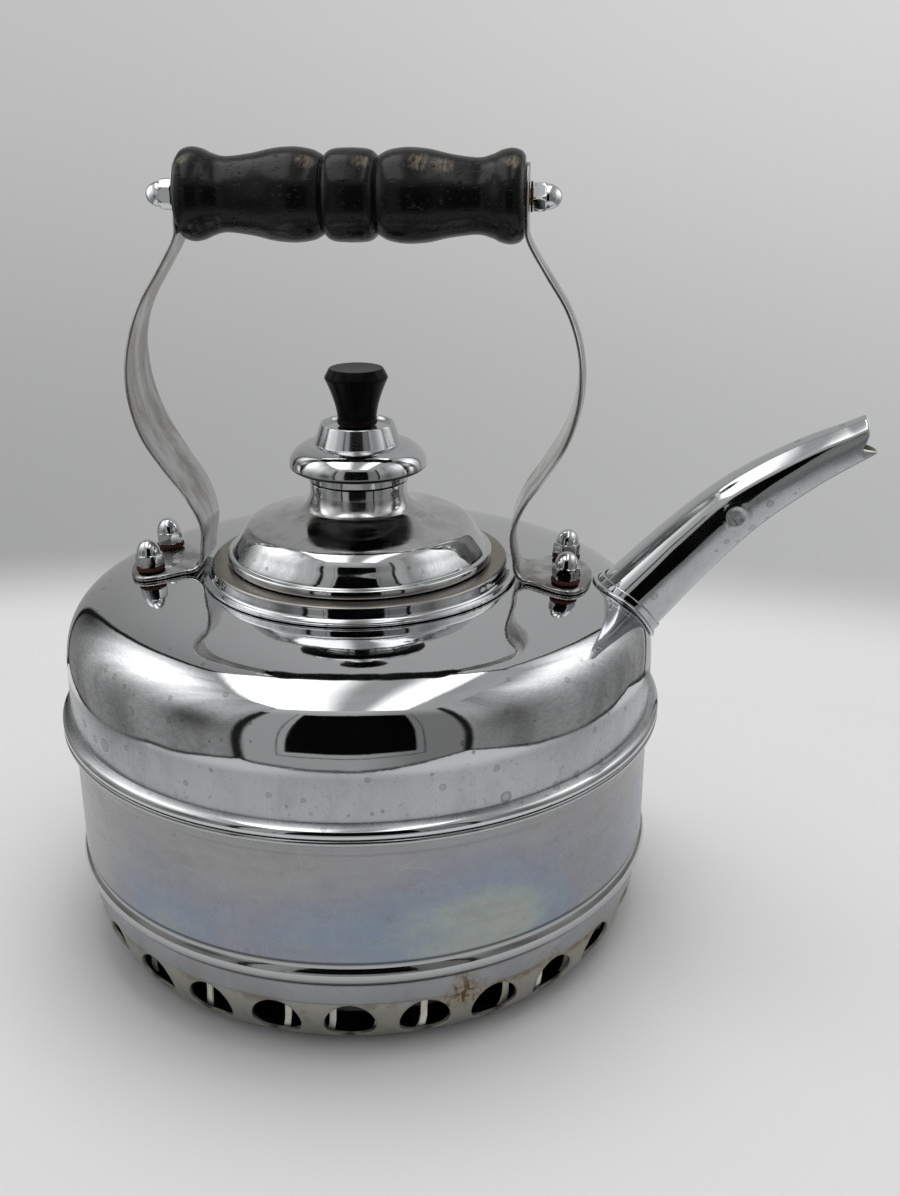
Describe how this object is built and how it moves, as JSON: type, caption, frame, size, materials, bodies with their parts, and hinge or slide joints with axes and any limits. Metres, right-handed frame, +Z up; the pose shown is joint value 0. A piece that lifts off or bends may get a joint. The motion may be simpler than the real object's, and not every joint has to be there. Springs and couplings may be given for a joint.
{
  "type": "stovetop kettle",
  "caption": "Round chrome-plated copper kettle with a lift-off domed lid, curved spout, two bowed straps with a turned black grip, and a perforated ring foot holding a wire coil.",
  "frame": {"origin": "on the axis of the pot, in the plane that the kettle stands on", "axes": "+Z up along the axis of the pot, +X towards the spout, +Y to the far side in the picture"},
  "size_m": [0.2677, 0.204, 0.2605],
  "materials": {
    "polished_chrome": "polished plate with fine wear",
    "worn_chrome": "hazy plate with heat tint",
    "stained_chrome": "stained plate",
    "coil_strip": "dull flat strip",
    "bare_copper": "bare copper sheet",
    "brass": "turned",
    "black_lacquered_wood": "glossy black lacquer",
    "black_moulding": "smooth moulding",
    "red_fibre": "pressed fibre"
  },
  "bodies": {
    "kettle": {"upper_body": "polished_chrome", "lower_body": "worn_chrome", "base_plate": "bare_copper", "heat_ring": "stained_chrome", "heat_coil": "coil_strip", "mouth_collar": "polished_chrome", "spout_tube": "polished_chrome", "spout_sleeve": "polished_chrome", "spout_saddle": "polished_chrome", "strap_front": "polished_chrome", "strap_rear": "polished_chrome", "grip": "black_lacquered_wood", "grip_rod": "brass", "grip_washer_front": "red_fibre", "grip_nut_front": "polished_chrome", "grip_washer_rear": "red_fibre", "grip_nut_rear": "polished_chrome", "foot_bolt_front_far": "brass", "foot_seal_front_far": "red_fibre", "foot_washer_front_far": "red_fibre", "foot_nut_front_far": "polished_chrome", "foot_bolt_front_near": "brass", "foot_seal_front_near": "red_fibre", "foot_washer_front_near": "red_fibre", "foot_nut_front_near": "polished_chrome", "foot_bolt_rear_far": "brass", "foot_seal_rear_far": "red_fibre", "foot_washer_rear_far": "red_fibre", "foot_nut_rear_far": "polished_chrome", "foot_bolt_rear_near": "brass", "foot_seal_rear_near": "red_fibre", "foot_washer_rear_near": "red_fibre", "foot_nut_rear_near": "polished_chrome"},
    "lid": {"lid_dome": "polished_chrome", "lid_plug_ring": "polished_chrome", "lid_neck": "polished_chrome", "lid_cap": "polished_chrome", "lid_knob": "black_moulding", "lid_screw": "brass", "lid_screw_washer": "brass"}
  },
  "joints": [
    {"name": "lid_lift", "type": "slide", "parent": "kettle", "child": "lid", "axis": [0, 0, 1], "range_m": [0, 0.034]}
  ]
}
